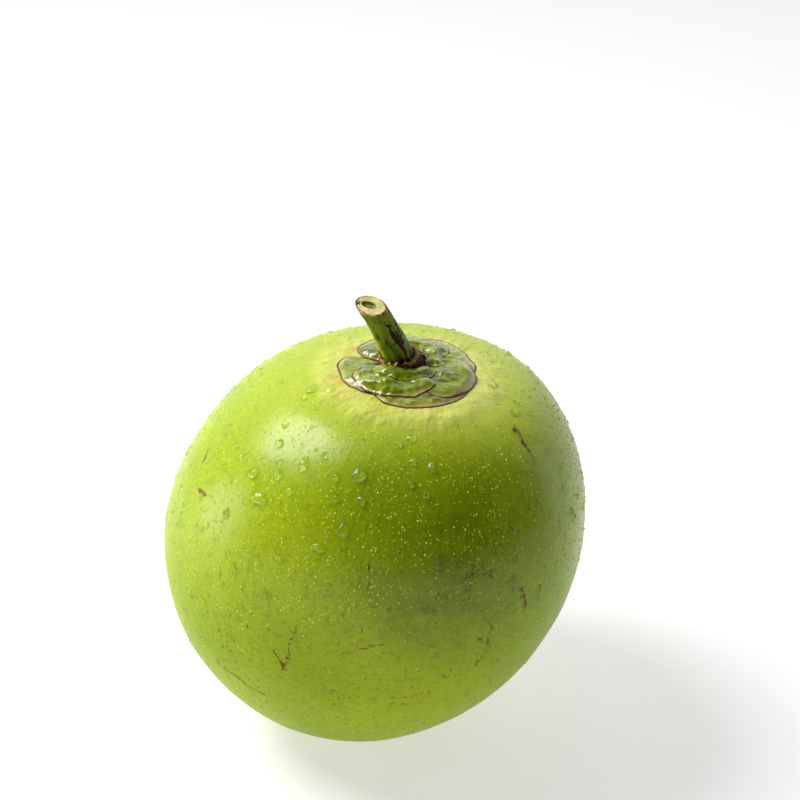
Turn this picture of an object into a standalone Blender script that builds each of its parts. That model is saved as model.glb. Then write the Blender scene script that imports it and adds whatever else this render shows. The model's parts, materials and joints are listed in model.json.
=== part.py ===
"""A whole green coconut as picked: husk, scaly cap of tepals and bracteoles, and cut fruit stalk.

Everything is modelled in the fruit's own frame, whose +Z runs up through the middle of the cap.
The empty "fruit" then leans that frame and sets the flat spot under the husk on the origin, in metres, +Z up.
"""

import math

import bmesh
import bpy
from mathutils import Euler, Vector

MM = 0.001
UP = Vector((0, 0, 1))

# Husk
HUSK_WIDTH = 175 * MM
HUSK_LENGTH = 188 * MM
TOP_FULLNESS = 0.082  # how much fuller the stalk half is than the blossom half
RIDGE_RISE = 0.039  # the three soft ridges that every coconut has
RIDGE_TURN = math.radians(75)
SWAY = 0.109  # sideways drift of the fruit's middle line, per metre of height
CROWN_DIP = 14.7 * MM  # how far the crown is flattened under the cap
CROWN_DIP_SPREAD = 0.45
LEAN = math.radians(3.8)
FLAT_RADIUS = 19 * MM
HUSK_TURNS = 54
HUSK_RINGS = 30

# Leaves of the cap, from the husk outwards: name, turn, half span (degrees), reach, flesh (mm)
LEAVES = (
    ("inner_tepal_front", 294, 56, 33.5, 1.2),
    ("inner_tepal_right", 38, 64, 32.5, 1.2),
    ("inner_tepal_left", 203, 52, 28.5, 1.2),
    ("outer_tepal_back", 90, 62, 29.0, 1.6),
    ("outer_tepal_right", 336, 50, 31.5, 1.6),
    ("outer_tepal_front", 254, 58, 27.0, 1.6),
    ("bracteole_back", 52, 68, 18.5, 1.8),
    ("bracteole_front", 268, 64, 18.0, 1.8),
)
LEAF_ROOT = 11.2 * MM  # where a leaf starts, clear of the receptacle
MARGIN_THICKNESS = 0.6 * MM
ROOT_FLESH = 0.35  # share of a leaf's flesh that is left at its root
SHOULDER = 0.45  # share of a leaf's reach that is left at its two sides
GAP = 0.45 * MM
DRAPE = 1.6 * MM  # how far a leaf lifts ahead of the edge of the leaf under it
LEAF_COLUMNS = 16
LEAF_ROWS = 6

# Receptacle, collar and stalk. The leaves and the stalk stand round the stalk's foot.
FOOT_OFFSET = Vector((-2.4 * MM, 0, 0))  # from the crown's middle
RECEPTACLE_RADIUS = 9.8 * MM
RECEPTACLE_TOP_RADIUS = 9.2 * MM
RECEPTACLE_HEIGHT = 2.9 * MM
COLLAR_FOOT_RADIUS = 9.4 * MM
COLLAR_RIM_RADIUS = 8.2 * MM
COLLAR_BORE = 7.4 * MM
COLLAR_RISE = 2.2 * MM  # how far its leaning foot ring clears the receptacle, at the middle
COLLAR_HEIGHT = 4.9 * MM
COLLAR_NORMAL = Vector((-0.06, -0.19, 0.98)).normalized()
STALK_LENGTH = 33 * MM
STALK_BASE_RADIUS = 6.6 * MM
STALK_WAIST_RADIUS = 5.5 * MM
STALK_START = Vector((-0.38, -0.15, 0.91)).normalized()
STALK_END = Vector((-0.50, -0.20, 0.84)).normalized()
CUT_NORMAL = Vector((0.08, -0.35, 0.93)).normalized()
ROUND_TURNS = 24
STALK_RINGS = 8


def husk_point(polar, turn):
    """A point of the husk's skin, polar being the angle down from the crown."""
    height = HUSK_LENGTH / 2 * math.cos(polar) - CROWN_DIP * math.exp(-((polar / CROWN_DIP_SPREAD) ** 2))
    radius = HUSK_WIDTH / 2 * math.sin(polar) * (1 + TOP_FULLNESS * math.cos(polar))
    radius *= 1 + RIDGE_RISE * math.sin(polar) ** 2 * math.cos(3 * (turn - RIDGE_TURN))
    return Vector((radius * math.cos(turn) + SWAY * height, radius * math.sin(turn), height))


def husk_normal(polar, turn):
    step = 1e-3
    down = husk_point(polar + step, turn) - husk_point(polar - step, turn)
    round_ = husk_point(polar, turn + step) - husk_point(polar, turn - step)
    return down.cross(round_).normalized()


def over_husk(distance, turn, height):
    """A point this high over the skin, at a distance and turn seen from the stalk's foot."""
    spot = FOOT_OFFSET + distance * Vector((math.cos(turn), math.sin(turn), 0))
    polar = spot.length / (HUSK_WIDTH / 2 * (1 + TOP_FULLNESS))
    turn = math.atan2(spot.y, spot.x)
    return husk_point(polar, turn) + height * husk_normal(polar, turn)


def smooth(t):
    t = min(max(t, 0.0), 1.0)
    return t * t * (3 - 2 * t)


class Leaf:
    """One fleshy scale of the cap, as a grid of heights over the husk: columns across it, rows outwards."""

    def __init__(self, turn, half_span, reach, flesh):
        self.turn = math.radians(turn)
        self.half_span = math.radians(half_span)
        self.reach = reach * MM
        self.flesh = flesh * MM
        self.under = []
        self.top = []

    def margin(self, across):
        """Distance of the leaf's margin from the stalk's foot, across running from -1 to 1."""
        share = SHOULDER + (1 - SHOULDER) * math.sqrt(max(0.0, 1 - abs(across) ** 3))
        return LEAF_ROOT + (self.reach - LEAF_ROOT) * share

    def thickness(self, across, outward):
        swell = (1 - outward**2) * (ROOT_FLESH + (1 - ROOT_FLESH) * smooth(outward / 0.5))
        side = math.sqrt(max(0.0, 1 - across**2))
        return MARGIN_THICKNESS + self.flesh * swell * side

    def place(self, column, row):
        """(distance, turn) of a grid point."""
        across = 2 * column / LEAF_COLUMNS - 1
        distance = LEAF_ROOT + (self.margin(across) - LEAF_ROOT) * row / LEAF_ROWS
        return distance, self.turn + self.half_span * across

    def top_at(self, distance, turn):
        """Height of this leaf's upper face there, its edge widened by DRAPE, or 0 off the leaf."""
        off = math.remainder(turn - self.turn, math.tau)
        beside = (abs(off) - self.half_span) * distance
        across = max(-1.0, min(1.0, off / self.half_span))
        margin = self.margin(across)
        if beside > DRAPE or distance - margin > DRAPE:
            return 0.0
        column = (across + 1) / 2 * LEAF_COLUMNS
        row = min(1.0, (distance - LEAF_ROOT) / (margin - LEAF_ROOT)) * LEAF_ROWS
        i = min(int(column), LEAF_COLUMNS - 1)
        j = min(int(row), LEAF_ROWS - 1)
        return max(self.top[i][j], self.top[i + 1][j], self.top[i][j + 1], self.top[i + 1][j + 1])

    def lay_on(self, pile):
        """Rests the leaf on the husk and on the leaves already there, bending smoothly over their edges."""
        columns, rows = range(LEAF_COLUMNS + 1), range(LEAF_ROWS + 1)
        spots = [[self.place(i, j) for j in rows] for i in columns]
        need = [[max([leaf.top_at(*spot) for leaf in pile], default=0.0) + GAP for spot in line] for line in spots]
        self.under = [line[:] for line in need]
        for _ in range(3):
            before = [line[:] for line in self.under]
            for i in columns:
                for j in rows:
                    near = [
                        before[k][m]
                        for k, m in ((i - 1, j), (i + 1, j), (i, j - 1), (i, j + 1))
                        if 0 <= k <= LEAF_COLUMNS and 0 <= m <= LEAF_ROWS
                    ]
                    self.under[i][j] = max(need[i][j], (before[i][j] + sum(near) / len(near)) / 2)
        self.top = [
            [self.under[i][j] + self.thickness(2 * i / LEAF_COLUMNS - 1, j / LEAF_ROWS) for j in rows]
            for i in columns
        ]
        return spots


def new_object(name, shape, material, fruit):
    mesh = bpy.data.meshes.new(name)
    bmesh.ops.recalc_face_normals(shape, faces=shape.faces)
    shape.to_mesh(mesh)
    shape.free()
    mesh.shade_smooth()
    mesh.set_sharp_from_angle(angle=math.radians(50))
    mesh.materials.append(material)
    piece = bpy.data.objects.new(name, mesh)
    bpy.context.scene.collection.objects.link(piece)
    piece.parent = fruit
    return piece


def finish(name, colour, roughness):
    material = bpy.data.materials.new(name)
    material.use_nodes = True
    shader = material.node_tree.nodes["Principled BSDF"]
    shader.inputs["Base Color"].default_value = (*colour, 1)
    shader.inputs["Roughness"].default_value = roughness
    shader.inputs["Metallic"].default_value = 0
    return material


def close_rings(shape, rings):
    """Bridges each ring of vertices to the next."""
    for lower, upper in zip(rings, rings[1:]):
        count = len(lower)
        for i in range(count):
            shape.faces.new((lower[i], lower[(i + 1) % count], upper[(i + 1) % count], upper[i]))


def cut_flat(shape, point, normal):
    """Cuts away what lies beyond a plane and closes the cut with one flat face, which it returns."""
    geometry = shape.verts[:] + shape.edges[:] + shape.faces[:]
    cut = bmesh.ops.bisect_plane(
        shape, geom=geometry, plane_co=point, plane_no=normal, clear_outer=True, dist=1e-6
    )
    edges = [g for g in cut["geom_cut"] if isinstance(g, bmesh.types.BMEdge)]
    return bmesh.ops.contextual_create(shape, geom=edges)["faces"][0]


def husk_shape(down):
    """The husk with its flat spot, and the flat spot's middle. down is the world's down in the fruit's frame."""
    shape = bmesh.new()
    turns = [math.tau * i / HUSK_TURNS for i in range(HUSK_TURNS)]
    polars = [math.pi * j / HUSK_RINGS for j in range(1, HUSK_RINGS)]
    rings = [[shape.verts.new(husk_point(polar, turn)) for turn in turns] for polar in polars]
    close_rings(shape, rings)
    for polar, ring in ((0, rings[0]), (math.pi, rings[-1])):
        pole = shape.verts.new(husk_point(polar, 0))
        for i in range(HUSK_TURNS):
            shape.faces.new((ring[i], ring[(i + 1) % HUSK_TURNS], pole))
    lowest = max(vertex.co.dot(down) for vertex in shape.verts)
    flat_depth = FLAT_RADIUS**2 / HUSK_WIDTH
    foot = cut_flat(shape, down * (lowest - flat_depth), down)
    return shape, foot.calc_center_median_weighted()


def leaf_shape(leaf, spots):
    shape = bmesh.new()
    columns, rows = range(LEAF_COLUMNS + 1), range(LEAF_ROWS + 1)
    faces = {}
    for side, heights in (("under", leaf.under), ("top", leaf.top)):
        faces[side] = [[shape.verts.new(over_husk(*spots[i][j], heights[i][j])) for j in rows] for i in columns]
        for i in range(LEAF_COLUMNS):
            for j in range(LEAF_ROWS):
                grid = faces[side]
                shape.faces.new((grid[i][j], grid[i + 1][j], grid[i + 1][j + 1], grid[i][j + 1]))
    outline = [(i, 0) for i in range(LEAF_COLUMNS)]
    outline += [(LEAF_COLUMNS, j) for j in range(LEAF_ROWS)]
    outline += [(i, LEAF_ROWS) for i in range(LEAF_COLUMNS, 0, -1)]
    outline += [(0, j) for j in range(LEAF_ROWS, 0, -1)]
    close_rings(shape, [[faces[side][i][j] for i, j in outline] for side in ("under", "top")])
    return shape


def aimed(direction):
    return direction.to_track_quat("Z", "Y").to_matrix()


def turned_ring(shape, centre, axis, radius):
    frame = aimed(axis)
    turns = [math.tau * i / ROUND_TURNS for i in range(ROUND_TURNS)]
    return [shape.verts.new(centre + frame @ Vector((radius * math.cos(t), radius * math.sin(t), 0))) for t in turns]


def receptacle_shape(foot):
    """The woody boss that carries the leaves and the stalk."""
    shape = bmesh.new()
    sizes = ((RECEPTACLE_RADIUS, GAP), (RECEPTACLE_RADIUS, 0.6 * RECEPTACLE_HEIGHT))
    sizes += ((RECEPTACLE_TOP_RADIUS, RECEPTACLE_HEIGHT),)
    rings = [turned_ring(shape, foot + height * UP, UP, radius) for radius, height in sizes]
    close_rings(shape, rings)
    shape.faces.new(rings[0])
    shape.faces.new(rings[-1])
    return shape


def collar_shape(foot):
    """The dry sleeve left round the stalk's foot, slanting with the stalk but with level rings."""
    shape = bmesh.new()
    low = foot + stalk_axis(COLLAR_RISE / STALK_LENGTH)[0]
    high = foot + stalk_axis((COLLAR_RISE + COLLAR_HEIGHT) / STALK_LENGTH)[0]
    profile = ((low, COLLAR_BORE), (low, COLLAR_FOOT_RADIUS), (high, COLLAR_RIM_RADIUS), (high, COLLAR_BORE))
    rings = [turned_ring(shape, centre, COLLAR_NORMAL, radius) for centre, radius in profile]
    close_rings(shape, [*rings, rings[0]])
    return shape


def stalk_axis(share):
    """(point, direction) of the stalk's middle line, share being 0 at its foot and 1 at its cut."""
    direction = STALK_START.lerp(STALK_END, share).normalized()
    point = STALK_LENGTH * (share * STALK_START + share**2 / 2 * (STALK_END - STALK_START))
    return point, direction


def stalk_shape(foot):
    """The stalk, grown too long at both ends, then cut level at its foot and aslant at its top."""
    shape = bmesh.new()
    rings = []
    for j in range(STALK_RINGS + 1):
        share = -0.25 + 1.6 * j / STALK_RINGS
        point, direction = stalk_axis(share)
        flare = min(1, max(0, 1 - share)) ** 2
        radius = STALK_WAIST_RADIUS + (STALK_BASE_RADIUS - STALK_WAIST_RADIUS) * flare
        rings.append(turned_ring(shape, foot + point, direction, radius))
    close_rings(shape, rings)
    shape.faces.new(rings[0])
    shape.faces.new(rings[-1])
    cut_flat(shape, foot, -UP)
    cut_flat(shape, foot + stalk_axis(1)[0], CUT_NORMAL)
    return shape


def main():
    for old in list(bpy.data.objects):
        bpy.data.objects.remove(old)
    skin = finish("husk_skin", (0.36, 0.50, 0.03), 0.35)
    scale = finish("leaf_scale", (0.11, 0.20, 0.02), 0.25)
    bark = finish("dry_collar", (0.07, 0.03, 0.012), 0.7)
    green_stalk = finish("green_stalk", (0.13, 0.22, 0.015), 0.4)

    lean = Euler((0, LEAN, 0)).to_matrix()
    down = lean.inverted() @ -UP
    husk, flat_middle = husk_shape(down)
    fruit = bpy.data.objects.new("fruit", None)
    fruit.rotation_euler = (0, LEAN, 0)
    fruit.location = -(lean @ flat_middle)
    bpy.context.scene.collection.objects.link(fruit)
    new_object("husk", husk, skin, fruit)

    pile = []
    for name, *sizes in LEAVES:
        leaf = Leaf(*sizes)
        spots = leaf.lay_on(pile)
        new_object(name, leaf_shape(leaf, spots), scale, fruit)
        pile.append(leaf)

    foot = husk_point(0, 0) + FOOT_OFFSET
    new_object("receptacle", receptacle_shape(foot), bark, fruit)
    foot += (RECEPTACLE_HEIGHT + GAP) * UP
    new_object("stalk_collar", collar_shape(foot), bark, fruit)
    new_object("stalk", stalk_shape(foot), green_stalk, fruit)


main()
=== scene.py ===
import json
import math
import random
from contextlib import contextmanager

import bmesh
import bpy
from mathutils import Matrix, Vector
from mathutils.bvhtree import BVHTree
from mathutils.kdtree import KDTree

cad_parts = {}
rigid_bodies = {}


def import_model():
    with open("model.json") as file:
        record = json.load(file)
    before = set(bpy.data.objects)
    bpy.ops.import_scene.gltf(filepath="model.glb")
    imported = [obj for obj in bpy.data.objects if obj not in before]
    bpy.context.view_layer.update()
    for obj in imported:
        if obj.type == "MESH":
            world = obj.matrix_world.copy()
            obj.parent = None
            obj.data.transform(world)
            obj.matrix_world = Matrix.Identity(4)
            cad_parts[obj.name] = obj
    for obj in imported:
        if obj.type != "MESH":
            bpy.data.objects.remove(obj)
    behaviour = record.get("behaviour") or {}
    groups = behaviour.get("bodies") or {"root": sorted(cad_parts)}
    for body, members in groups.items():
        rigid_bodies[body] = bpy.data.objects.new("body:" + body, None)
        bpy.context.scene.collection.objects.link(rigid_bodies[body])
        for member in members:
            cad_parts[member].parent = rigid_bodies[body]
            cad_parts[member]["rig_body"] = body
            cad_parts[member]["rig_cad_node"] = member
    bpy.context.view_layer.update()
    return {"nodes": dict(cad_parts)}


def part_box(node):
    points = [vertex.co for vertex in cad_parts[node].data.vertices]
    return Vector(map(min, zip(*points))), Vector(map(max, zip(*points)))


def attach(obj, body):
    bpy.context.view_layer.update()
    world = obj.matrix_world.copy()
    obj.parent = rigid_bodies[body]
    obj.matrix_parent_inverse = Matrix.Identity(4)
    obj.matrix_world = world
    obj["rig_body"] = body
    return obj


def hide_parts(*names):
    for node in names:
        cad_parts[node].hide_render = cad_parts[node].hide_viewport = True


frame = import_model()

MM = 0.001
UP = Vector((0, 0, 1))


# ---------------------------------------------------------------- places: some taken from the model, some given

def middle(node):
    low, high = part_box(node)
    return (Vector(low) + Vector(high)) / 2


HUSK = middle("husk")
FOOT = middle("receptacle")
FOOT.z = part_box("receptacle")[1].z - 0.4 * MM
CAP = sum((middle(f"inner_tepal_{side}") for side in ("front", "right", "left")), Vector()) / 3
STALK_START = Vector((-0.32, -0.15, 0.93)).normalized()
STALK_END = Vector((-0.44, -0.20, 0.87)).normalized()
CUT_NORMAL = Vector((0.14, -0.35, 0.92)).normalized()
STALK_LENGTH = 33 * MM
CORE_FOOT = HUSK + Vector((0.9, -2.4, 4.8)) * MM
CORE_TILT = math.radians(10)  # how far the fruit's middle line leans towards +X


# ---------------------------------------------------------------- camera

def set_camera():
    camera = bpy.data.objects.new("camera", bpy.data.cameras.new("camera"))
    bpy.context.scene.collection.objects.link(camera)
    camera.data.lens = 86.5
    camera.data.sensor_width = 36
    camera.location = HUSK + Vector((0.01136, -0.69887, 0.45616))
    camera.rotation_euler = (math.radians(61), 0, 0)
    bpy.context.scene.camera = camera


# ---------------------------------------------------------------- working on a mesh

def only(piece):
    """Selects one piece alone and makes it the active one."""
    bpy.ops.object.select_all(action="DESELECT")
    piece.select_set(True)
    bpy.context.view_layer.objects.active = piece


@contextmanager
def editing(piece):
    """Edit mode on one piece with nothing selected; gives its edit mesh."""
    only(piece)
    bpy.ops.object.mode_set(mode="EDIT")
    bpy.ops.mesh.select_mode(type="FACE")
    bpy.ops.mesh.select_all(action="DESELECT")
    yield bmesh.from_edit_mesh(piece.data)
    bpy.ops.object.mode_set(mode="OBJECT")


def choose(shape, test):
    """Selects the faces that pass a test, and no others."""
    bpy.ops.mesh.select_all(action="DESELECT")
    for face in shape.faces:
        face.select_set(bool(test(face)))


def apply(piece, kind, **settings):
    """Adds a modifier and applies it."""
    modifier = piece.modifiers.new(kind.lower(), kind)
    for key, value in settings.items():
        setattr(modifier, key, value)
    only(piece)
    bpy.ops.object.modifier_apply(modifier=modifier.name)


def subdivide(piece, levels, kind="CATMULL_CLARK"):
    apply(piece, "SUBSURF", levels=levels, render_levels=levels, subdivision_type=kind)


def clouds(name, size, depth=2, creased=False):
    texture = bpy.data.textures.new(name, "CLOUDS")
    texture.noise_scale = size
    texture.noise_depth = depth
    texture.noise_type = "HARD_NOISE" if creased else "SOFT_NOISE"
    return texture


def heave(piece, texture, strength, middle_grey, direction="NORMAL", weights=""):
    """Moves the surface in and out, or along one axis, by a texture."""
    apply(
        piece, "DISPLACE", texture=texture, strength=strength, mid_level=middle_grey,
        direction=direction, vertex_group=weights,
    )


def weigh(piece, name, weights):
    """A vertex group with a weight from 0 to 1 for each vertex."""
    group = piece.vertex_groups.new(name=name)
    for index, weight in enumerate(weights):
        group.add([index], min(1.0, max(0.0, weight)), "REPLACE")
    return name


def ease(value, low, high):
    """0 at low, 1 at high and smooth between them; low may be the greater."""
    t = min(max((value - low) / (high - low), 0.0), 1.0)
    return t * t * (3 - 2 * t)


def carried_over(node, name):
    """A merged copy of a CAD node in quads, to be worked finer, which stands for that node."""
    piece = frame["nodes"][node].copy()
    piece.data = piece.data.copy()
    piece.name = piece.data.name = name
    piece.parent = None
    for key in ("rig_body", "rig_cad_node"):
        del piece[key]
    bpy.context.scene.collection.objects.link(piece)
    piece.data.materials.clear()
    with editing(piece):
        bpy.ops.mesh.select_all(action="SELECT")
        bpy.ops.mesh.remove_doubles(threshold=0.01 * MM)
        bpy.ops.mesh.tris_convert_to_quads()
        bpy.ops.mesh.normals_make_consistent(inside=False)
    bpy.ops.mesh.customdata_custom_splitnormals_clear()
    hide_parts(node)
    return piece


def finish_piece(piece, slot, *looks):
    piece.data.shade_smooth()
    for look in looks:
        piece.data.materials.append(look.material)
    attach(piece, "root")


# ---------------------------------------------------------------- shader maths

class Value:
    """A socket that can stand in sums. Numbers, tuples and other Values can be its partners."""

    def __init__(self, look, socket):
        self.look, self.socket = look, socket

    def _sum(self, operation, *terms):
        return self.look.node("Math", {"operation": operation}, dict(enumerate(terms)))

    def __add__(self, other):
        return self._sum("ADD", self, other)

    def __sub__(self, other):
        return self._sum("SUBTRACT", self, other)

    def __rsub__(self, other):
        return self._sum("SUBTRACT", other, self)

    def __mul__(self, other):
        return self._sum("MULTIPLY", self, other)

    def __abs__(self):
        return self._sum("ABSOLUTE", self)

    __radd__, __rmul__ = __add__, __mul__

    def most(self, other):
        return self._sum("MAXIMUM", self, other)

    def least(self, other):
        return self._sum("MINIMUM", self, other)

    def ease(self, low, high):
        """0 below low, 1 above high and smooth between them; low may be the greater."""
        return self.look.node(
            "MapRange",
            {"interpolation_type": "SMOOTHSTEP"},
            {"Value": self, "From Min": low, "From Max": high},
        )


class Look:
    """One material: its shader, and the nodes that feed it."""

    def __init__(self, name, **uniform):
        self.material = bpy.data.materials.new(name)
        self.material.use_nodes = True
        self.tree = self.material.node_tree
        self.shader = self.tree.nodes["Principled BSDF"]
        for key, value in uniform.items():
            self.shader.inputs[key.replace("_", " ")].default_value = value
        self.place = self.node("TexCoord", out="Object")

    def node(self, kind, settings=None, inputs=None, out=0):
        node = self.tree.nodes.new("ShaderNode" + kind)
        for key, value in (settings or {}).items():
            setattr(node, key, value)
        for key, value in (inputs or {}).items():
            self.feed(node.inputs[key], value)
        return Value(self, node.outputs[out])

    def feed(self, socket, value):
        if isinstance(value, Value):
            self.tree.links.new(value.socket, socket)
        elif isinstance(value, tuple) and socket.type == "RGBA":
            socket.default_value = (*value[:3], 1)
        else:
            socket.default_value = value

    def set(self, key, value):
        self.feed(self.shader.inputs[key], value)

    def mix(self, share, first, second):
        node = self.tree.nodes.new("ShaderNodeMix")
        node.data_type = "RGBA"
        for index, value in ((0, share), (6, first), (7, second)):
            self.feed(node.inputs[index], value)
        return Value(self, node.outputs[2])

    def vector(self, operation, *terms, out=0):
        return self.node("VectorMath", {"operation": operation}, dict(enumerate(terms)), out)

    def scaled(self, vector, factor):
        return self.node("VectorMath", {"operation": "SCALE"}, {"Vector": vector, "Scale": factor})

    def dot(self, a, b):
        return self.vector("DOT_PRODUCT", a, b, out=1)

    def apart(self, a, b):
        return self.vector("DISTANCE", a, b, out=1)

    def noise(self, place, scale, detail=2.0, roughness=0.5, **more):
        inputs = {"Vector": place, "Scale": scale, "Detail": detail, "Roughness": roughness}
        inputs |= {key.replace("_", " "): value for key, value in more.items()}
        return self.node("TexNoise", None, inputs)

    def cells(self, place, scale):
        """The distance to the nearest of many scattered points."""
        return self.node("TexVoronoi", None, {"Vector": place, "Scale": scale}, out="Distance")

    def local(self, origin, turn):
        """Object coordinates seen from a frame with this origin and rotation."""
        inputs = {"Vector": self.place, "Location": tuple(origin), "Rotation": turn}
        return self.node("Mapping", {"vector_type": "TEXTURE"}, inputs)

    def parts(self, vector):
        node = self.tree.nodes.new("ShaderNodeSeparateXYZ")
        self.feed(node.inputs[0], vector)
        return [Value(self, socket) for socket in node.outputs]

    def joined(self, x, y, z):
        return self.node("CombineXYZ", None, {0: x, 1: y, 2: z})

    def bump(self, height, strength, distance, under=None):
        inputs = {"Height": height, "Strength": strength, "Distance": distance}
        if under is not None:
            inputs["Normal"] = under
        return self.node("Bump", None, inputs)


# ---------------------------------------------------------------- spots on the skin

class Skin:
    """Finds places on the husk by degrees right of the front and degrees up, seen from its middle."""

    def __init__(self, husk):
        self.tree = BVHTree.FromObject(husk, bpy.context.evaluated_depsgraph_get())

    def spot(self, right, rise):
        right, rise = math.radians(right), math.radians(rise)
        flat = math.cos(rise)
        out = Vector((math.sin(right) * flat, -math.cos(right) * flat, math.sin(rise)))
        point, normal, _, _ = self.tree.ray_cast(HUSK + out, -out)
        return point, normal

    def nearest(self, point):
        place, normal, _, _ = self.tree.find_nearest(point)
        return place, normal


# ---------------------------------------------------------------- husk

SCARS = (  # from, to (degrees right of the front, degrees up), width in mm, how broken
    ((58, 49), (56, 40), 0.9, 0.35),
    ((-1, 28), (-1, 16), 0.8, 0.50),
    ((34, 27), (33, 14), 0.7, 0.55),
    ((24, 22), (32, 20), 0.9, 0.45),
    ((31, 8), (28, -5), 0.9, 0.45),
    ((-21, 8), (-25, -9), 0.9, 0.45),
    ((-27, -2), (-24, -8), 0.9, 0.35),
    ((-42, 0), (-41, -10), 0.7, 0.50),
    ((-49, -18), (-34, -22), 1.0, 0.40),
    ((-8, 1), (4, 5), 0.8, 0.50),
    ((5, -15), (17, -13), 0.9, 0.50),
    ((40, 15), (40, 8), 1.0, 0.40),
    ((-63, 31), (-58, 31), 1.1, 0.35),
    ((-71, 40), (-69, 36), 0.8, 0.40),
    ((27, 25), (24, 16), 0.7, 0.45),
    ((20, 19), (29, 23), 0.6, 0.50),
    ((2, 32), (3, 24), 0.8, 0.55),
    ((-14, -12), (-6, -16), 0.7, 0.50),
    ((118, 30), (121, 12), 0.9, 0.45),
    ((152, -2), (166, 3), 0.9, 0.50),
    ((-128, 18), (-131, 2), 0.9, 0.45),
    ((-165, 34), (-160, 25), 0.8, 0.50),
)


def scar_lines(look, skin, speck):
    """1 on the scars: thin wandering lines, broken up, with clots on them and specks beside them."""
    scars = None
    wander = look.noise(look.place, 75, 2) - 0.5
    jitter = look.noise(look.place, 520, 2, 0.7) - 0.5
    breaks = look.noise(look.place, 900, 2, 0.6)
    clots = look.noise(look.place, 300, 2).ease(0.45, 0.7)
    for begin, end, width, broken in SCARS:
        a, b = skin.spot(*begin)[0], skin.spot(*end)[0]
        along, length = (b - a).normalized(), (b - a).length
        centre, normal = skin.nearest((a + b) / 2)
        across = normal.cross(along).normalized()
        place = look.vector("SUBTRACT", look.place, tuple(centre))
        reach = abs(look.dot(place, tuple(along))).ease(length * 0.62, length * 0.40)
        off = abs(look.dot(place, tuple(across)) + wander * 0.010 + jitter * 0.0028)
        near = look.vector("LENGTH", place, out=1).ease(0.040, 0.034)
        line = (off - clots * width * 0.6 * MM).ease(width * 0.62 * MM, width * 0.20 * MM)
        line = line * breaks.ease(broken, broken + 0.08)
        beside = off.ease(4.5 * MM, 1.0 * MM) * speck * clots * 0.8
        line = line.most(beside) * reach * near
        scars = line if scars is None else scars.most(line)
    return scars


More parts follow.
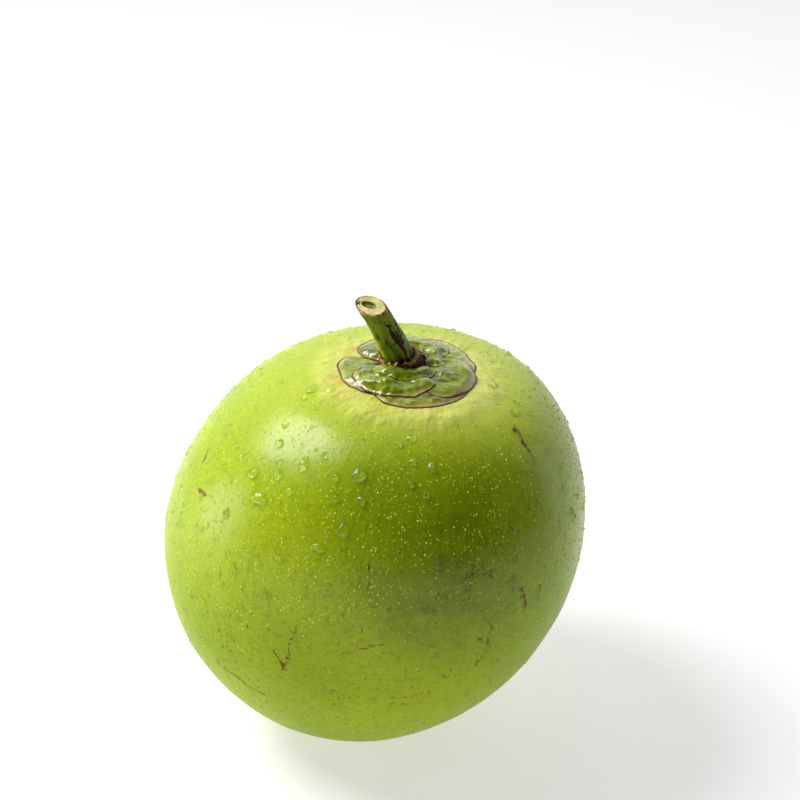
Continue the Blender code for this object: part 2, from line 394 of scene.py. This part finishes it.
def skin_look(skin):
    look = Look("waxy_green_skin", IOR=1.45, Specular_IOR_Level=0.1, Coat_Roughness=0.24)
    fruit = look.local(CORE_FOOT, (0, CORE_TILT, 0))
    x, y, z = look.parts(fruit)
    round_ = look.vector("NORMALIZE", look.joined(x, y, 0.0))
    rx, ry, _ = look.parts(round_)
    from_cap = look.apart(look.place, tuple(CAP))

    broad = look.noise(look.place, 16, 2)
    patches = look.noise(look.place, 45, 4, 0.6)
    mottle = look.noise(look.place, 380, 3, 0.65)
    grain = look.noise(look.place, 1100, 2, 0.6)
    lines = look.noise(look.joined(rx * 26, ry * 26, z * 12), 1.0, 4, 0.65)
    fine_lines = look.noise(look.joined(rx * 110, ry * 110, z * 26), 1.0, 3, 0.6)

    young, ripe, deep = (0.350, 0.450, 0.004), (0.268, 0.378, 0.002), (0.155, 0.225, 0.001)
    colour = look.mix(broad.ease(0.35, 0.65), ripe, young)
    colour = look.mix(patches.ease(0.55, 0.8) * 0.3, colour, deep)
    colour = look.mix(lines.ease(0.52, 0.75) * 0.18, colour, (0.16, 0.23, 0.002))
    colour = look.mix(fine_lines.ease(0.5, 0.8) * 0.14, colour, (0.40, 0.49, 0.02))
    colour = look.mix(mottle.ease(0.50, 0.64) * 0.38, colour, deep)
    colour = look.mix(grain.ease(0.52, 0.66) * 0.42, colour, (0.50, 0.62, 0.02))
    colour = look.mix(from_cap.ease(0.080, 0.035) * 0.5, colour, (0.52, 0.60, 0.03))

    # painted shade: a darker, greener patch on the front and a duller, greyer one lower down, where the
    # middle of the fruit lies in shade between the lamps; the brown blotches within the lower one are the
    # skin's own
    painted_shade_front = look.apart(look.place, tuple(skin.spot(16, 36)[0])).ease(0.062, 0.015)
    colour = look.mix(painted_shade_front * (patches.ease(0.2, 0.7) * 0.3 + 0.35), colour, deep)
    painted_shade_low = look.apart(look.place, tuple(skin.spot(24, 17)[0])).ease(0.045, 0.010)
    painted_shade_low = painted_shade_low * patches.ease(0.3, 0.6)
    colour = look.mix(painted_shade_low * 0.25, colour, (0.17, 0.20, 0.002))
    blotch = painted_shade_low * look.noise(look.place, 260, 4, 0.75).ease(0.50, 0.64)
    colour = look.mix(blotch * 0.6, colour, (0.17, 0.085, 0.003))

    # the pale ring that the cap leaves round itself, rayed outwards, and stained on its left
    rays = look.noise(look.joined(rx * 9, ry * 9, from_cap * 70), 1.0, 2, 0.5)
    ring = (from_cap + (rays - 0.5) * 0.010).ease(0.0430, 0.0325)
    colour = look.mix(ring * 0.55, colour, (0.66, 0.64, 0.13))
    stain = look.noise(look.place, 110, 3, 0.6).ease(0.48, 0.68)
    stain = stain * look.dot(round_, (-1.0, -0.15, 0.0)).ease(0.35, 0.85)
    colour = look.mix(stain * from_cap.ease(0.040, 0.030) * 0.75, colour, (0.68, 0.30, 0.045))

    # specks and short flecks
    speck = look.cells(look.place, 420).ease(0.24, 0.12)
    picked = look.noise(look.place, 70, 3, 0.7).ease(0.52, 0.68)
    picked = picked * look.noise(look.place, 330, 1).ease(0.50, 0.58)
    low_down = z.ease(0.02, -0.05) * 0.7 + 0.3
    colour = look.mix(speck * picked * low_down * 0.9, colour, (0.12, 0.045, 0.004))
    fleck = look.cells(look.joined(rx * 34, ry * 34, z * 190 + x * 60), 1.0).ease(0.30, 0.12)
    flecked = look.noise(look.place, 28, 2).ease(0.42, 0.60) * z.ease(0.045, 0.0)
    colour = look.mix(fleck * flecked * mottle.ease(0.42, 0.55) * 0.75, colour, (0.15, 0.10, 0.004))

    scars = scar_lines(look, skin, speck)
    colour = look.mix(scars * 0.9, colour, (0.145, 0.036, 0.004))
    look.set("Base Color", colour)

    wet = z.ease(-0.035, 0.045)
    look.set("Roughness", (0.40 - wet * 0.08 + grain * 0.10 + scars * 0.3).least(0.9))
    halo = from_cap.ease(0.050, 0.036)
    look.set("Coat Weight", wet * 0.42 + 0.02 + halo * 0.3)
    relief = look.bump(grain + mottle * 0.5, 0.16, 0.0006)
    relief = look.bump(lines + fine_lines * 0.4, 0.18, 0.0010, relief)
    relief = look.bump((rays * 0.5 + look.noise(look.place, 170, 2)) * ring, 0.6, 0.0026, relief)
    relief = look.bump(scars, 0.5, 0.0004, relief)
    look.set("Normal", relief)
    return look


def make_husk():
    husk = carried_over("husk", "smooth_husk")
    subdivide(husk, 2)
    spans = [((vertex.co - CAP).length, vertex.co.z) for vertex in husk.data.vertices]
    open_skin = [ease(z, 1 * MM, 20 * MM) * ease(span, 34 * MM, 50 * MM) for span, z in spans]
    free = weigh(husk, "between_foot_and_cap", open_skin)
    swell = clouds("broad_unevenness", 0.035)
    heave(husk, swell, 1.1 * MM, 0.42, weights=free)
    round_cap = [ease(span, 46 * MM, 38 * MM) * ease(span, 27 * MM, 33 * MM) for span, _ in spans]
    puckered = weigh(husk, "puckered_round_the_cap", round_cap)
    pucker = clouds("puckers", 0.006)
    heave(husk, pucker, 1.4 * MM, 0.5, weights=puckered)
    return husk


# ---------------------------------------------------------------- the cap of leaves

LEAVES = (  # CAD node, from the husk outwards, and whether its margin shows as a dried line
    ("inner_tepal_front", True),
    ("inner_tepal_right", True),
    ("inner_tepal_left", True),
    ("outer_tepal_back", True),
    ("outer_tepal_right", True),
    ("outer_tepal_front", True),
    ("bracteole_back", False),
    ("bracteole_front", False),
)
MARGIN_LIFT = 0.12 * MM  # how far a margin lies above what is under it
ROOT_REACH = 12.5 * MM  # the part of a leaf this near the stalk's foot is drawn in, to end under the collar
ROOT_DRAWN_IN = 0.87


def leaf_look(name, dried_margin):
    look = Look(name, IOR=1.45, Specular_IOR_Level=0.2, Coat_Roughness=0.06)
    x, y, _ = look.parts(look.vector("SUBTRACT", look.place, tuple(FOOT)))
    flat = look.joined(x, y, 0.0)
    round_ = look.vector("NORMALIZE", flat)
    rx, ry, _ = look.parts(round_)
    out = look.vector("LENGTH", flat, out=1)
    patches = look.noise(look.place, 120, 4, 0.65)
    fine = look.noise(look.place, 620, 3, 0.65)
    rays = look.noise(look.joined(rx * 17, ry * 17, out * 70), 1.0, 4, 0.7)
    colour = look.mix(patches.ease(0.32, 0.62), (0.080, 0.120, 0.001), (0.25, 0.32, 0.003))
    colour = look.mix(rays.ease(0.50, 0.68) * 0.4, colour, (0.29, 0.38, 0.03))
    colour = look.mix(fine.ease(0.52, 0.68) * 0.3, colour, (0.050, 0.085, 0.001))
    outer = out.ease(0.018, 0.031)
    colour = look.mix(outer * patches.ease(0.3, 0.6) * 0.55, colour, (0.38, 0.44, 0.06))
    brown = look.noise(look.place, 95, 3, 0.6).ease(0.60, 0.70)
    colour = look.mix(brown * 0.6, colour, (0.10, 0.045, 0.02))
    # painted shade: the scales darken almost to black near the stalk's foot, under the collar
    colour = look.mix(out.ease(0.0135, 0.0105) * 0.75, colour, (0.035, 0.030, 0.006))
    if dried_margin:
        margin = look.node("Attribute", {"attribute_name": "from_margin"}, out="Fac")
        edge = margin + (look.noise(look.place, 300, 3, 0.6) - 0.5) * 0.0009
        pale = edge.ease(0.0026, 0.0009) * look.noise(look.place, 60, 2).ease(0.35, 0.60)
        colour = look.mix(pale * 0.7, colour, (0.60, 0.47, 0.14))
        colour = look.mix(edge.ease(0.0009, 0.0005) * 0.7, colour, (0.58, 0.22, 0.05))
        colour = look.mix(edge.ease(0.00052, 0.00024), colour, (0.060, 0.014, 0.005))
    look.set("Base Color", colour)
    look.set("Roughness", 0.16 + patches * 0.14)
    look.set("Coat Weight", 0.8)
    relief = look.bump(look.noise(look.place, 420, 3, 0.6), 0.20, 0.0007)
    relief = look.bump(rays, 0.25, 0.0008, relief)
    look.set("Normal", relief)
    return look


def draw_down(leaf, weights, pile):
    """Lets a leaf's margin down until it lies on the pile under it."""
    under = BVHTree.FromBMesh(pile)
    for vertex, weight in zip(leaf.data.vertices, weights):
        if weight > 0:
            spot, _, _, _ = under.ray_cast(vertex.co + 30 * MM * UP, -UP)
            if spot:
                vertex.co.z += 0.88 * weight * (spot.z + MARGIN_LIFT - vertex.co.z)


def on_margin(leaf, face):
    """True for the thin faces round a leaf's outer edge, which stand more or less upright."""
    corners = leaf.data.vertices
    shortest = min((corners[a].co - corners[b].co).length for a, b in face.edge_keys)
    return abs(face.normal.z) < 0.7 and (face.center - FOOT).xy.length > 13 * MM and shortest < 0.7 * MM


def margin_distances(leaf, group):
    """How far each vertex is from the leaf's margin, kept as an attribute for its look too."""
    edges = [
        vertex.co.copy() for vertex in leaf.data.vertices
        if any(g.group == group and g.weight > 0.99 for g in vertex.groups)
    ]
    tree = KDTree(len(edges))
    for i, co in enumerate(edges):
        tree.insert(co, i)
    tree.balance()
    distances = [tree.find(vertex.co)[2] for vertex in leaf.data.vertices]
    leaf.data.attributes.new("from_margin", "FLOAT", "POINT").data.foreach_set("value", distances)
    return distances


def make_leaf(node, look, pile):
    """A fleshy scale: its middle swollen and creased, its margin lying on what is under it."""
    leaf = carried_over(node, node.replace("tepal", "scale") + "_fleshy")
    with editing(leaf) as shape:
        choose(shape, lambda face: (face.calc_center_median() - FOOT).xy.length < ROOT_REACH)
        bpy.ops.transform.resize(value=(ROOT_DRAWN_IN, ROOT_DRAWN_IN, 1), center_override=FOOT)
    margin = leaf.vertex_groups.new(name="margin")
    rim = [face for face in leaf.data.polygons if on_margin(leaf, face)]
    margin.add(sorted({v for face in rim for v in face.vertices}), 1.0, "REPLACE")
    subdivide(leaf, 3)
    distances = margin_distances(leaf, leaf.vertex_groups["margin"].index)

    inside = [
        ease((v.co - CAP).xy.length, 30 * MM, 19 * MM) * ease((v.co - FOOT).xy.length, 7.5 * MM, 12 * MM)
        for v in leaf.data.vertices
    ]
    swollen = weigh(leaf, "swollen", inside)
    fleshy = weigh(leaf, "fleshy", [ease(d, 0.4 * MM, 3.5 * MM) for d in distances])
    swell = clouds("cap_swell", 0.0085)
    heave(leaf, swell, 3.3 * MM, 0.45, "Z", swollen)
    creases = clouds("cap_creases", 0.0055, 1, creased=True)
    heave(leaf, creases, 0.9 * MM, 0.55, "Z", fleshy)
    for axis in "XY":
        heave(leaf, clouds("cap_wander_" + axis, 0.008), 2.2 * MM, 0.5, axis)
    wrinkles = clouds("leaf_wrinkles", 0.0022)
    heave(leaf, wrinkles, 0.22 * MM, 0.5, "Z", fleshy)
    draw_down(leaf, [ease(d, 3.2 * MM, 0.3 * MM) for d in distances], pile)
    pile.from_mesh(leaf.data)
    finish_piece(leaf, "leaf_scale", look)


# ---------------------------------------------------------------- collar and stalk

RIM_SLOPE = (0.06, 0.19)  # how much the collar's rim rises towards +X and towards +Y


def collar_look(rim_height):
    look = Look("dry_fibrous_collar", IOR=1.45, Specular_IOR_Level=0.15)
    place = look.vector("SUBTRACT", look.place, tuple(FOOT))
    x, y, z = look.parts(place)
    rx, ry, _ = look.parts(look.vector("NORMALIZE", look.joined(x, y, 0.0)))
    fibres = look.noise(look.joined(rx * 12, ry * 12, z * 150), 1.0, 4, 0.75)
    patches = look.noise(look.place, 330, 4, 0.7)
    colour = look.mix(fibres.ease(0.40, 0.62), (0.050, 0.017, 0.005), (0.24, 0.10, 0.03))
    colour = look.mix(patches.ease(0.60, 0.70) * 0.7, colour, (0.28, 0.14, 0.055))
    height = z - x * RIM_SLOPE[0] - y * RIM_SLOPE[1]
    torn = (height + (patches - 0.5) * 0.003).ease(rim_height - 0.0034, rim_height - 0.0022)
    colour = look.mix(torn * fibres.ease(0.30, 0.50), colour, (0.68, 0.34, 0.09))
    colour = look.mix(torn * patches.ease(0.50, 0.58), colour, (0.80, 0.66, 0.36))
    look.set("Base Color", colour)
    look.set("Roughness", 0.30 + fibres * 0.4)
    look.set("Normal", look.bump(fibres + patches, 0.9, 0.0014))
    return look


def make_collar():
    collar = carried_over("stalk_collar", "torn_collar")
    subdivide(collar, 3, "SIMPLE")
    across = Vector((-RIM_SLOPE[0], -RIM_SLOPE[1], 1))
    rise = [(vertex.co - FOOT).dot(across) for vertex in collar.data.vertices]
    top = max(rise)
    rim = weigh(collar, "rim", [ease(r, top - 2.2 * MM, top - 0.3 * MM) for r in rise])
    torn = clouds("torn_rim", 0.0013, 2, creased=True)
    heave(collar, torn, 2.6 * MM, 0.55, "Z", rim)
    lumps = clouds("collar_lumps", 0.0018, 3, creased=True)
    heave(collar, lumps, 1.1 * MM, 0.45)
    finish_piece(collar, "dry_collar", collar_look(top))


def stalk_look():
    look = Look("green_stalk_skin", IOR=1.45, Specular_IOR_Level=0.15)
    place = look.vector("SUBTRACT", look.place, tuple(FOOT))
    along = look.dot(place, tuple(STALK_END))
    x, y, _ = look.parts(look.vector("SUBTRACT", place, look.scaled(tuple(STALK_END), along)))
    lengthwise = look.joined(x * 300, y * 300, along * 35)
    fibres = look.noise(lengthwise, 1.0, 4, 0.6)
    blotch = look.noise(look.joined(x * 330, y * 330, along * 95), 1.0, 3, 0.65, Distortion=0.5)
    colour = look.mix(fibres.ease(0.35, 0.7), (0.10, 0.150, 0.003), (0.24, 0.33, 0.006))
    right = x.ease(0.0003, 0.0030)
    left = x.ease(-0.0016, -0.0042)
    colour = look.mix(left * 0.8, colour, (0.56, 0.63, 0.045))
    scraped = look.noise(look.joined(x * 420, y * 420, along * 60), 1.0, 3, 0.6)
    colour = look.mix(scraped.ease(0.56, 0.68) * 0.5, colour, (0.20, 0.16, 0.03))
    colour = look.mix(blotch.ease(0.51, 0.55) * right, colour, (0.045, 0.008, 0.004))
    colour = look.mix(blotch.ease(0.62, 0.66) * 0.8, colour, (0.045, 0.014, 0.005))
    node_line = abs(along - 0.0145 - x * 0.15).ease(0.0007, 0.0002)
    colour = look.mix(node_line * 0.5, colour, (0.03, 0.02, 0.006))
    look.set("Base Color", colour)
    look.set("Roughness", 0.36 + fibres * 0.25)
    look.set("Normal", look.bump(fibres + blotch * 0.5, 0.6, 0.0008))
    return look


def cut_look():
    look = Look("cut_stalk_end", Roughness=0.5, IOR=1.45)
    pale = look.noise(look.place, 700, 4, 0.7)
    colour = look.mix(pale.ease(0.3, 0.7), (0.56, 0.50, 0.12), (0.90, 0.84, 0.38))
    look.set("Base Color", colour)
    look.set("Roughness", 0.4 + pale * 0.25)
    look.set("Normal", look.bump(pale, 0.7, 0.0008))
    return look


def rim_look():
    look = Look("cut_stalk_rim", Roughness=0.5, IOR=1.45)
    patches = look.noise(look.place, 380, 3, 0.7)
    colour = look.mix(patches.ease(0.40, 0.58), (0.10, 0.028, 0.010), (0.52, 0.30, 0.09))
    look.set("Base Color", colour)
    look.set("Normal", look.bump(patches, 0.8, 0.0008))
    return look


def pith_look():
    look = Look("olive_pith", Roughness=0.5, IOR=1.45)
    patches = look.noise(look.place, 900, 3, 0.7)
    colour = look.mix(patches.ease(0.4, 0.6), (0.10, 0.10, 0.012), (0.30, 0.30, 0.05))
    look.set("Base Color", colour)
    return look


STALK_RADII = {  # share of the stalk's length: radius in mm, with a slight ring at the node
    0.02: 6.6, 0.12: 6.5, 0.26: 6.15, 0.40: 5.95, 0.43: 6.10, 0.46: 5.90, 0.62: 5.65, 0.80: 5.55, 1.30: 5.60,
}
CUT_STEPS = ((0.25, 0.10), (0.45, 0.05), (1.8, -0.1), (1.3, 0.15))  # width and rise in mm, from the rim in
PITH_STEPS = ((0.25, -0.5), (0.5, -0.5))
PITH_OFF_CENTRE = Vector((-0.8, 0.5, 0))


def stalk_axis(share):
    return FOOT + STALK_LENGTH * (share * STALK_START + share**2 / 2 * (STALK_END - STALK_START))


def make_stalk():
    """Drawn up from a ring round its foot, then cut aslant, with a rim and a hollow pith in the cut."""
    bpy.ops.object.select_all(action="DESELECT")
    tilt = STALK_START.to_track_quat("Z", "Y").to_euler()
    foot, radius = next(iter(STALK_RADII.items()))
    bpy.ops.mesh.primitive_circle_add(
        vertices=32, radius=radius * MM, fill_type="NGON", location=stalk_axis(foot), rotation=tilt
    )
    stalk = bpy.context.object
    stalk.name = stalk.data.name = "slanting_stalk"
    bpy.ops.object.transform_apply(location=True, rotation=True, scale=True)
    cut_middle = stalk_axis(1)
    rings = list(STALK_RADII.items())
    with editing(stalk) as shape:
        for face in shape.faces:
            face.select_set(True)
        for (start, radius), (end, new_radius) in zip(rings, rings[1:]):
            step = stalk_axis(end) - stalk_axis(start)
            bpy.ops.mesh.extrude_region_move(TRANSFORM_OT_translate={"value": step})
            bpy.ops.transform.resize(value=(new_radius / radius,) * 3, center_override=stalk_axis(end))
        bpy.ops.mesh.select_all(action="SELECT")
        bpy.ops.mesh.bisect(plane_co=cut_middle, plane_no=CUT_NORMAL, use_fill=True, clear_outer=True)
        bpy.ops.mesh.select_all(action="SELECT")
        bpy.ops.mesh.normals_make_consistent(inside=False)
        shape = bmesh.from_edit_mesh(stalk.data)
        choose(shape, lambda face: face.normal.dot(CUT_NORMAL) > 0.99 and len(face.verts) > 8)
        for thickness, depth in CUT_STEPS:
            bpy.ops.mesh.inset(thickness=thickness * MM, depth=depth * MM)
        bpy.ops.transform.translate(value=PITH_OFF_CENTRE * MM)
        for thickness, depth in PITH_STEPS:
            bpy.ops.mesh.inset(thickness=thickness * MM, depth=depth * MM)
    for look in (stalk_look(), cut_look(), rim_look(), pith_look()):
        stalk.data.materials.append(look.material)
    _, cut, rim, pith = range(4)
    for face in stalk.data.polygons:
        faces_up = face.normal.dot(CUT_NORMAL)
        depth = (face.center - cut_middle).dot(CUT_NORMAL)
        beside = (face.center - cut_middle - depth * CUT_NORMAL).length
        if depth > -0.05 * MM and faces_up > 0.2:
            face.material_index = rim
        if faces_up > 0.8 and depth > -0.3 * MM and beside < 5.2 * MM:
            face.material_index = cut
        if depth < -0.2 * MM and beside < 3 * MM and faces_up > -0.9:
            face.material_index = pith
    subdivide(stalk, 3)
    heave(stalk, clouds("stalk_lumps", 0.005), 0.5 * MM, 0.55)
    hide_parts("stalk")
    finish_piece(stalk, "green_stalk")


# ---------------------------------------------------------------- water

DROP_SHAPES = {
    "round": dict(length=1.05, width=0.98, height=1.0),
    "tear": dict(length=1.35, width=0.90, height=0.95, lean=0.30),
    "wide": dict(length=0.85, width=1.45, height=0.75, lean=0.15),
    "run": dict(length=2.1, width=0.75, height=0.90, lean=0.35),
}
LARGE_DROPS = {  # shape: (degrees right of the front, degrees up, radius in mm)
    "round": (
        (-42, 57, 1.9), (-39, 52, 2.3), (-43, 43, 2.5), (-4, 48, 3.4), (-27, 42, 2.0), (-12, 47, 1.9),
        (-18, 52, 1.8), (17, 56, 2.3), (11, 55, 2.0), (15, 50, 1.9), (13, 45, 1.9), (17, 42, 1.8),
        (-3, 42, 2.3), (-11, 42, 1.9), (-36, 24, 2.1), (14, 15, 1.9), (34, 40, 1.7),
    ),
    "tear": (
        (-25, 49, 2.7), (-33, 45, 2.2), (21, 48, 2.1), (-8, 35, 2.6), (-47, 31, 2.0), (-40, 19, 2.0),
        (-30, 14, 2.6), (-15, 20, 2.1), (18, 26, 2.1), (39, 29, 1.8), (57, 48, 1.9), (-21, 5, 1.5),
    ),
    "wide": (
        (-37, 38, 3.3), (-15, 30, 2.4), (65, 51, 2.4), (-50, 70, 3.2), (-39, 73, 3.0), (78, 58, 2.6),
    ),
    "run": ((37, 17, 2.0), (45, 11, 2.1), (63, 23, 2.1)),
}
BARE_ROUND_CAP = 33 * MM  # no drops are strewn nearer the cap's middle than this
DROP_CUT = 0.25  # how high a drop's ball is cut off, as a share of its radius
DROP_SINK = 0.15  # how far the cut then lies below the skin, as a share of it too
DEW_BATCH = 3500  # beads to a piece


def dew_look():
    """Beads too small to look through: opaque and glossy, coloured a brighter yellow-green than the skin, a
    painted glow that stands in for the light a drop focuses onto the skin.
    """
    look = Look("fine_dew", Roughness=0.10, IOR=1.33)
    glow_tone = look.noise(look.place, 140, 2)
    look.set("Base Color", look.mix(glow_tone.ease(0.35, 0.65), (0.42, 0.56, 0.008), (0.74, 0.84, 0.08)))
    return look


def water_look():
    look = Look("clear_water", Roughness=0.02, IOR=1.33, Transmission_Weight=1.0)
    # painted shade: the yellow-green tint darkens and deepens the skin seen through a drop
    look.set("Base Color", (0.90, 1.0, 0.66))
    nodes = look.tree.nodes
    through = nodes.new("ShaderNodeBsdfTransparent")
    mixed = nodes.new("ShaderNodeMixShader")
    shadow = look.node("LightPath", out="Is Shadow Ray")
    look.feed(mixed.inputs[0], shadow * 0.25)
    look.tree.links.new(look.shader.outputs[0], mixed.inputs[1])
    look.tree.links.new(through.outputs[0], mixed.inputs[2])
    look.tree.links.new(mixed.outputs[0], nodes["Material Output"].inputs[0])
    return look


def model_drop(name, segments, rings, length, width, height, lean=0.0):
    """One drop of unit size on the XY plane, its run along +X: a cap of a ball, long and heavy-ended."""
    bpy.ops.object.select_all(action="DESELECT")
    bpy.ops.mesh.primitive_uv_sphere_add(segments=segments, ring_count=rings, radius=1.0)
    drop = bpy.context.object
    drop.name = drop.data.name = name
    with editing(drop):
        bpy.ops.mesh.select_all(action="SELECT")
        bpy.ops.mesh.bisect(plane_co=DROP_CUT * UP, plane_no=-UP, use_fill=True, clear_outer=True)
        bpy.ops.mesh.select_all(action="SELECT")
        bpy.ops.transform.translate(value=-(DROP_CUT + DROP_SINK) * UP)
        bpy.ops.transform.resize(value=(length, width, height), center_override=(0, 0, 0))
        if lean:
            shape = bmesh.from_edit_mesh(drop.data)
            for vertex in shape.verts:
                vertex.co.y *= 1 + lean * vertex.co.x / length
                vertex.co.z *= 1 + 0.6 * lean * vertex.co.x / length
            bmesh.update_edit_mesh(drop.data)
    drop.data.shade_smooth()
    return drop


def strew(drop, sites, name, look):
    """Stands a copy of a drop on each site, then joins them. A site is (point, normal, run, radius)."""
    corners, faces = [], []
    for point, normal, run, radius in sites:
        run = (run - run.dot(normal) * normal).normalized()
        side = normal.cross(run)
        start = len(corners)
        for a, b in ((-1, -1), (1, -1), (1, 1), (-1, 1)):
            corners.append(point + radius / 2 * (a * run + b * side))
        faces.append(range(start, start + 4))
    mesh = bpy.data.meshes.new(name + "_sites")
    mesh.from_pydata(corners, [], faces)
    carrier = bpy.data.objects.new(name + "_sites", mesh)
    bpy.context.scene.collection.objects.link(carrier)
    carrier.instance_type = "FACES"
    carrier.use_instance_faces_scale = True
    drop.parent = carrier
    bpy.context.view_layer.update()
    only(carrier)
    before = set(bpy.data.objects)
    bpy.ops.object.duplicates_make_real()
    made = [o for o in bpy.data.objects if o not in before]
    bpy.ops.object.select_all(action="DESELECT")
    for copy in made:
        copy.select_set(True)
    made[0].data = made[0].data.copy()
    bpy.context.view_layer.objects.active = made[0]
    bpy.ops.object.join()
    water = bpy.context.object
    water.name = water.data.name = name
    bpy.ops.object.transform_apply(location=True, rotation=True, scale=True)
    bpy.data.objects.remove(carrier)
    bpy.data.objects.remove(drop)
    finish_piece(water, None, look)
    return water


class Sites:
    """Sites for drops, chosen at random on the skin, clear of the cap, the large drops and one another."""

    CELL = 4 * MM

    def __init__(self, skin, taken):
        self.skin, self.taken, self.settled = skin, taken, {}
        self.rng = random.Random(7)

    def cell(self, point):
        return tuple(int(c // self.CELL) for c in point)

    def clear(self, point, radius):
        if (point - CAP).xy.length < BARE_ROUND_CAP and point.z > CAP.z - 12 * MM:
            return False
        if any((point - other).length < radius + reach for other, reach in self.taken):
            return False
        x, y, z = self.cell(point)
        steps = (-1, 0, 1)
        return not any(
            (point - other).length < 1.05 * (radius + reach)
            for dx in steps for dy in steps for dz in steps
            for other, reach in self.settled.get((x + dx, y + dy, z + dz), ())
        )

    def settle(self, tries, low, high, power, driest, lowest, full):
        """Sites with a radius from low to high mm. The share kept rises from driest as the spot does."""
        chosen, uniform = [], self.rng.uniform
        for _ in range(tries):
            right = uniform(-180, 180)
            rise = math.degrees(math.asin(uniform(-0.55, 0.98)))
            radius = (low + (high - low) * self.rng.random() ** power) * MM
            if self.rng.random() > driest + (1 - driest) * ease(rise, lowest, full):
                continue
            point, normal = self.skin.spot(right, rise)
            if self.clear(point, radius):
                self.settled.setdefault(self.cell(point), []).append((point, radius))
                run = 0.3 * Vector((uniform(-1, 1), uniform(-1, 1), 0)) - UP
                chosen.append((point, normal, run, radius))
        return chosen


def make_water(skin):
    water, dew = water_look(), dew_look()
    uneven = clouds("uneven_drops", 0.0022, 1)
    taken = []
    for kind, shape in DROP_SHAPES.items():
        sites = [(*skin.spot(right, rise), -UP, radius * MM) for right, rise, radius in LARGE_DROPS[kind]]
        taken += [(point, radius * 1.5) for point, _, _, radius in sites]
        drops = strew(model_drop("drop_" + kind, 28, 18, **shape), sites, "drops_" + kind, water)
        heave(drops, uneven, 1.3 * MM, 0.5, "X")

    places = Sites(skin, taken)
    middling = places.settle(420, 0.9, 1.6, 2.0, driest=0.04, lowest=0, full=34)
    small = places.settle(4500, 0.45, 0.85, 1.8, driest=0.04, lowest=0, full=34)
    beads = places.settle(20000, 0.20, 0.50, 1.7, driest=0.02, lowest=-12, full=30)
    drop = model_drop("drop_middling", 16, 12, length=1.05, width=0.95, height=0.95)
    strew(drop, middling, "drops_middling", water)
    drop = model_drop("drop_small", 10, 8, length=1.1, width=0.9, height=0.92)
    strew(drop, small, "drops_small", water)
    for i in range(0, len(beads), DEW_BATCH):
        bead = model_drop("bead", 8, 6, length=1.1, width=0.9, height=0.75)
        strew(bead, beads[i : i + DEW_BATCH], f"dew_{i // DEW_BATCH + 1}", dew)


# ---------------------------------------------------------------- studio

def panel(name, size, direction, distance, energy):
    """A soft round light that faces the fruit from this direction."""
    light = bpy.data.lights.new(name, "AREA")
    light.shape = "ELLIPSE"
    light.size, light.size_y = size
    light.energy = energy
    lamp = bpy.data.objects.new(name, light)
    bpy.context.scene.collection.objects.link(lamp)
    direction = Vector(direction).normalized()
    lamp.location = HUSK + direction * distance
    lamp.rotation_euler = direction.to_track_quat("Z", "Y").to_euler()


def set_studio():
    bpy.ops.object.select_all(action="DESELECT")
    bpy.ops.mesh.primitive_plane_add(size=6, location=(0, 0, 0))
    floor = bpy.context.object
    floor.name = "pale_floor"
    look = Look("pale_floor", Roughness=0.8)
    look.set("Base Color", (0.62, 0.62, 0.62))
    look.set("Emission Color", (1.0, 1.0, 1.0))
    look.shader.inputs["Emission Strength"].default_value = 0.52
    floor.data.materials.append(look.material)

    world = bpy.data.worlds.new("studio")  # white behind the fruit, fading to dark before it
    world.use_nodes = True
    bpy.context.scene.world = world
    nodes, links = world.node_tree.nodes, world.node_tree.links
    background = nodes["Background"]
    coordinates = nodes.new("ShaderNodeTexCoord")
    split = nodes.new("ShaderNodeSeparateXYZ")
    ramp = nodes.new("ShaderNodeMapRange")
    links.new(coordinates.outputs["Generated"], split.inputs[0])
    links.new(split.outputs[1], ramp.inputs["Value"])
    ramp.interpolation_type = "SMOOTHSTEP"
    ramp.inputs["From Min"].default_value = -0.15
    ramp.inputs["From Max"].default_value = 0.75
    links.new(ramp.outputs[0], background.inputs["Strength"])
    background.inputs["Color"].default_value = (1, 1, 1, 1)

    panel("key", (0.66, 0.66), (-0.576, 0.127, 0.808), 1.1, 15)
    panel("left", (0.6, 0.6), (-0.93, 0.0, 0.10), 1.2, 5.5)
    panel("right", (0.4, 0.8), (0.93, 0.25, 0.12), 1.2, 1)
    bpy.context.scene.view_settings.view_transform = "Standard"


# ---------------------------------------------------------------- all of it

set_camera()
husk = make_husk()
skin = Skin(husk)
finish_piece(husk, "husk_skin", skin_look(skin))
leaf_looks = {True: leaf_look("wet_scale_with_dried_margin", True), False: leaf_look("wet_scale", False)}
pile = bmesh.new()
pile.from_mesh(husk.data)
for node, dried_margin in LEAVES:
    make_leaf(node, leaf_looks[dried_margin], pile)
pile.free()
make_collar()
make_stalk()
make_water(skin)
set_studio()
